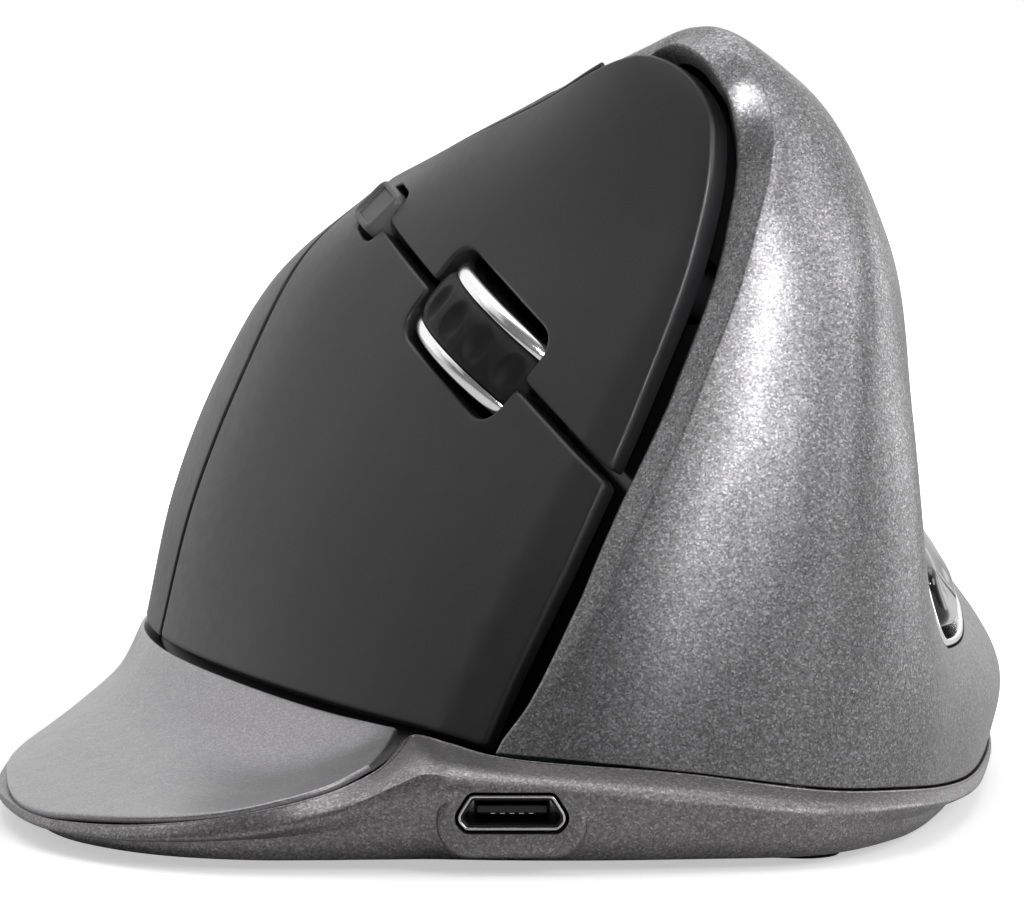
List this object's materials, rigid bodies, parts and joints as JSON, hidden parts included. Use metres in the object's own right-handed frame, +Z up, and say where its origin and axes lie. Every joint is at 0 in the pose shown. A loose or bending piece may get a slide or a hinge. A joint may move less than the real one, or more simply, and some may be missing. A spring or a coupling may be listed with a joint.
{
  "type": "vertical ergonomic mouse",
  "caption": "Tall right-hand mouse gripped like a handshake, with sprung finger buttons, a ribbed scroll wheel, thumb keys, a pinky rest and a cable socket.",
  "frame": {"origin": "middle of the bounding box at desk level, under the glide feet", "axes": "+Z up from the desk, +Y from the cable socket to the heel, +X to the thumb side"},
  "size_m": [0.076, 0.1054, 0.0574],
  "materials": {
    "shell_paint": "fine metallic grey paint on moulded plastic",
    "rest_paint": "light grey satin paint on moulded plastic",
    "base_plastic": "dark grey fine-textured plastic",
    "panel_black": "black soft-touch satin",
    "frame_black": "glossy black moulding",
    "key_black": "piano black",
    "button_grey": "satin grey",
    "bright_trim": "plated",
    "tyre_rubber": "matt ribbed rubber",
    "steel": "bright steel",
    "inner_grey": "grey moulding",
    "switch_black": "black plastic",
    "plunger_white": "white plastic",
    "board_green": "green lacquer",
    "lens_clear": "clear moulding",
    "cell_foil": "silver foil pouch",
    "lead_red": "red insulation",
    "glide": "slippery black pad"
  },
  "bodies": {
    "chassis": {"side_shell": "shell_paint", "pinky_rest": "rest_paint", "base_tray": "base_plastic", "grip_panel": "panel_black", "inner_frame": "frame_black", "thumb_carrier": "frame_black", "thumb_bezel": "bright_trim", "hinge_pin": "steel", "thumb_pin": "steel", "button_board_screws": "steel", "thumb_screws": "steel", "main_board_screws": "steel", "base_screws": "steel", "usb_shell": "steel", "middle_switch": "steel", "dpi_switch": "steel", "forward_switch": "steel", "back_switch": "steel", "power_switch": "steel", "primary_switch": "switch_black", "secondary_switch": "switch_black", "usb_tongue": "switch_black", "sensor_chip": "switch_black", "battery_plug": "plunger_white", "flat_cable": "plunger_white", "button_board": "board_green", "dpi_board": "board_green", "thumb_board": "board_green", "main_board": "board_green", "sensor_lens": "lens_clear", "battery_cell": "cell_foil", "battery_leads": "lead_red", "glide_feet": "glide"},
    "primary": {"primary_button": "panel_black"},
    "primary_push": {"primary_plunger": "plunger_white"},
    "secondary": {"secondary_button": "panel_black"},
    "secondary_push": {"secondary_plunger": "plunger_white"},
    "yoke": {"wheel_yoke": "inner_grey", "wheel_encoder": "inner_grey"},
    "middle_push": {"middle_plunger": "switch_black"},
    "wheel": {"wheel_hub": "frame_black", "wheel_tyre": "tyre_rubber", "wheel_rims": "bright_trim"},
    "dpi": {"dpi_button": "button_grey"},
    "dpi_push": {"dpi_plunger": "switch_black"},
    "forward": {"forward_button": "key_black"},
    "forward_push": {"forward_plunger": "switch_black"},
    "back": {"back_button": "key_black"},
    "back_push": {"back_plunger": "switch_black"},
    "power": {"power_knob": "switch_black"}
  },
  "joints": [
    {"name": "primary_press", "type": "hinge", "parent": "chassis", "child": "primary", "pos_m": [-0.00134, -0.01006, 0.03633], "axis": [0.6198, -0.0985, 0.7786], "range_deg": [0, 1.2], "stiffness_Nm_per_rad": 0.2, "springref_deg": -2.86},
    {"name": "secondary_press", "type": "hinge", "parent": "chassis", "child": "secondary", "pos_m": [-0.00134, -0.01006, 0.03633], "axis": [0.6198, -0.0985, 0.7786], "range_deg": [0, 1.2], "stiffness_Nm_per_rad": 0.2, "springref_deg": -2.86},
    {"name": "wheel_click", "type": "hinge", "parent": "chassis", "child": "yoke", "pos_m": [-0.00134, -0.01006, 0.03633], "axis": [0.6198, -0.0985, 0.7786], "range_deg": [0, 1.6], "stiffness_Nm_per_rad": 0.3, "springref_deg": -2.86},
    {"name": "wheel_spin", "type": "hinge", "parent": "yoke", "child": "wheel", "pos_m": [0.00239, -0.02206, 0.03184], "axis": [0.6198, -0.0985, 0.7786], "continuous": true},
    {"name": "dpi_press", "type": "slide", "parent": "chassis", "child": "dpi", "axis": [0.6819, 0.2934, -0.67], "range_m": [0, 0.00035], "stiffness_N_per_m": 1500, "springref_m": -0.0008},
    {"name": "forward_press", "type": "hinge", "parent": "chassis", "child": "forward", "pos_m": [0.02266, -0.01039, 0.01806], "axis": [0.0503, 0.9983, 0.0306], "range_deg": [0, 2.9], "stiffness_Nm_per_rad": 0.05, "springref_deg": -4.58},
    {"name": "back_press", "type": "hinge", "parent": "chassis", "child": "back", "pos_m": [0.02266, -0.01039, 0.01806], "axis": [0.0503, 0.9983, 0.0306], "range_deg": [0, 2.9], "stiffness_Nm_per_rad": 0.05, "springref_deg": -4.58},
    {"name": "power_slide", "type": "slide", "parent": "chassis", "child": "power", "axis": [1, 0, 0], "range_m": [0, 0.0024]},
    {"name": "primary_push_slide", "type": "slide", "parent": "chassis", "child": "primary_push", "axis": [0.6515, 0.6177, -0.4405], "range_m": [0, 0.0006]},
    {"name": "secondary_push_slide", "type": "slide", "parent": "chassis", "child": "secondary_push", "axis": [0.6515, 0.6177, -0.4405], "range_m": [0, 0.0006]},
    {"name": "middle_push_slide", "type": "slide", "parent": "chassis", "child": "middle_push", "axis": [0.6515, 0.6177, -0.4405], "range_m": [0, 0.0009]},
    {"name": "dpi_push_slide", "type": "slide", "parent": "chassis", "child": "dpi_push", "axis": [0.6819, 0.2934, -0.67], "range_m": [0, 0.0004]},
    {"name": "forward_push_slide", "type": "slide", "parent": "chassis", "child": "forward_push", "axis": [-0.8526, 0.0589, -0.5192], "range_m": [0, 0.0004]},
    {"name": "back_push_slide", "type": "slide", "parent": "chassis", "child": "back_push", "axis": [-0.8526, 0.0589, -0.5192], "range_m": [0, 0.0004]}
  ],
  "couplings": [
    {"joint": "primary_push_slide", "follows": "primary_press", "m_per_rad": 0.0245},
    {"joint": "secondary_push_slide", "follows": "secondary_press", "m_per_rad": 0.0245},
    {"joint": "middle_push_slide", "follows": "wheel_click", "m_per_rad": 0.0274},
    {"joint": "dpi_push_slide", "follows": "dpi_press", "ratio": 1},
    {"joint": "forward_push_slide", "follows": "forward_press", "m_per_rad": 0.006},
    {"joint": "back_push_slide", "follows": "back_press", "m_per_rad": 0.006}
  ]
}
